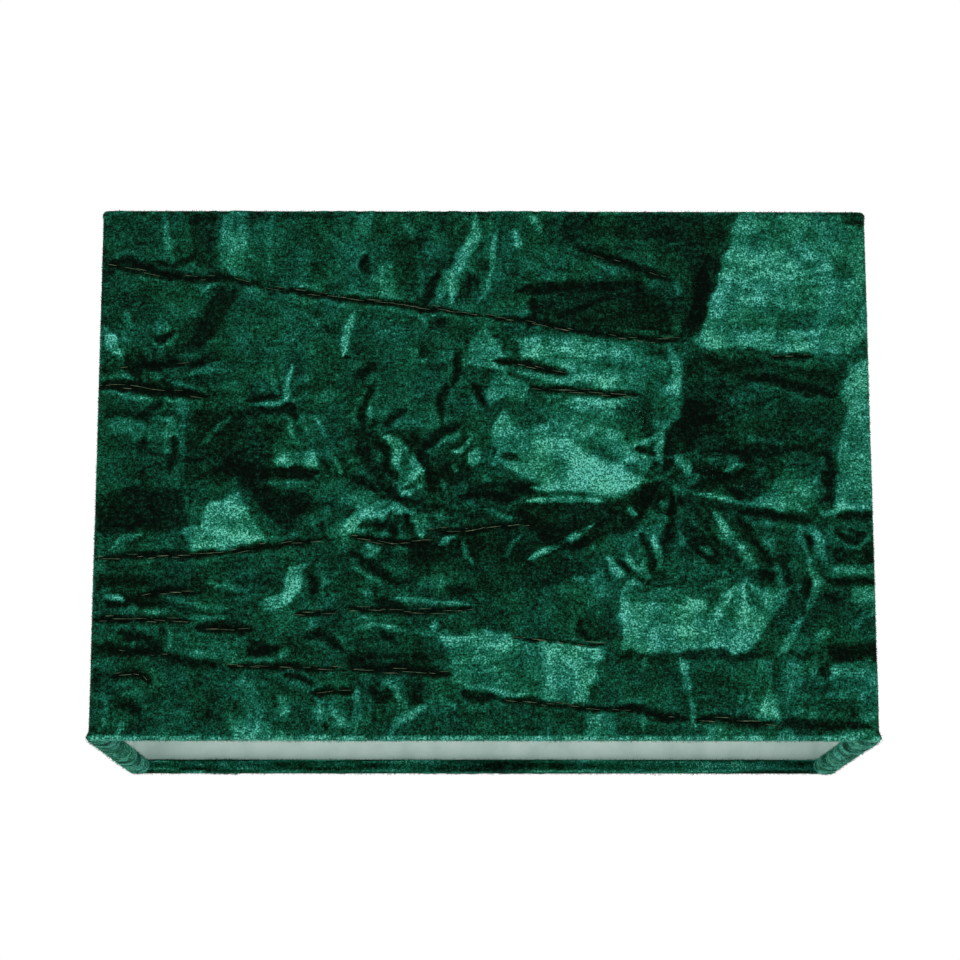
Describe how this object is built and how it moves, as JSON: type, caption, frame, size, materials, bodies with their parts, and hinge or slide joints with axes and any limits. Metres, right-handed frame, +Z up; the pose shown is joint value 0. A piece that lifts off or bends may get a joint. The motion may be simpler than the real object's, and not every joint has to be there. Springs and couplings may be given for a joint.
{
  "type": "lampshade",
  "caption": "Rectangular crushed-velvet lampshade, open above and below, with rolled hems over wire rings, a stiff white lining and a gimbal fitter with a reducer ring.",
  "frame": {"origin": "middle of the bottom opening, on the plane that the bottom hem stands on", "axes": "+Z up, +X along the long sides, -Y out of the front panel; the overlapped seam is on the back panel, towards -X"},
  "size_m": [0.3, 0.1452, 0.208],
  "materials": {
    "velvet": "crushed velvet, emerald green",
    "lining": "matt white styrene sheet",
    "tape": "clear double-sided tape",
    "ring_wire": "white powder coat",
    "fitter_metal": "white powder coat",
    "reducer_plastic": "moulded white"
  },
  "bodies": {
    "shade": {"velvet_cover": "velvet", "lining_panel": "lining", "seam_tape": "tape", "fold_tape": "tape", "bottom_ring": "ring_wire", "top_ring": "ring_wire", "bottom_ring_tape": "tape", "top_ring_tape": "tape", "pivot_lug_front": "fitter_metal", "pivot_lug_back": "fitter_metal"},
    "gimbal": {"yoke_wire_front": "fitter_metal", "yoke_wire_back": "fitter_metal", "fitter_washer": "fitter_metal"},
    "reducer": {"reducer_ring": "reducer_plastic"}
  },
  "joints": [
    {"name": "gimbal_swing", "type": "hinge", "parent": "shade", "child": "gimbal", "pos_m": [0, 0, 0.19725], "axis": [0, 1, 0], "range_deg": [-180, 180]},
    {"name": "reducer_lift", "type": "slide", "parent": "gimbal", "child": "reducer", "axis": [0, 0, 1], "range_m": [0, 0.03]}
  ]
}
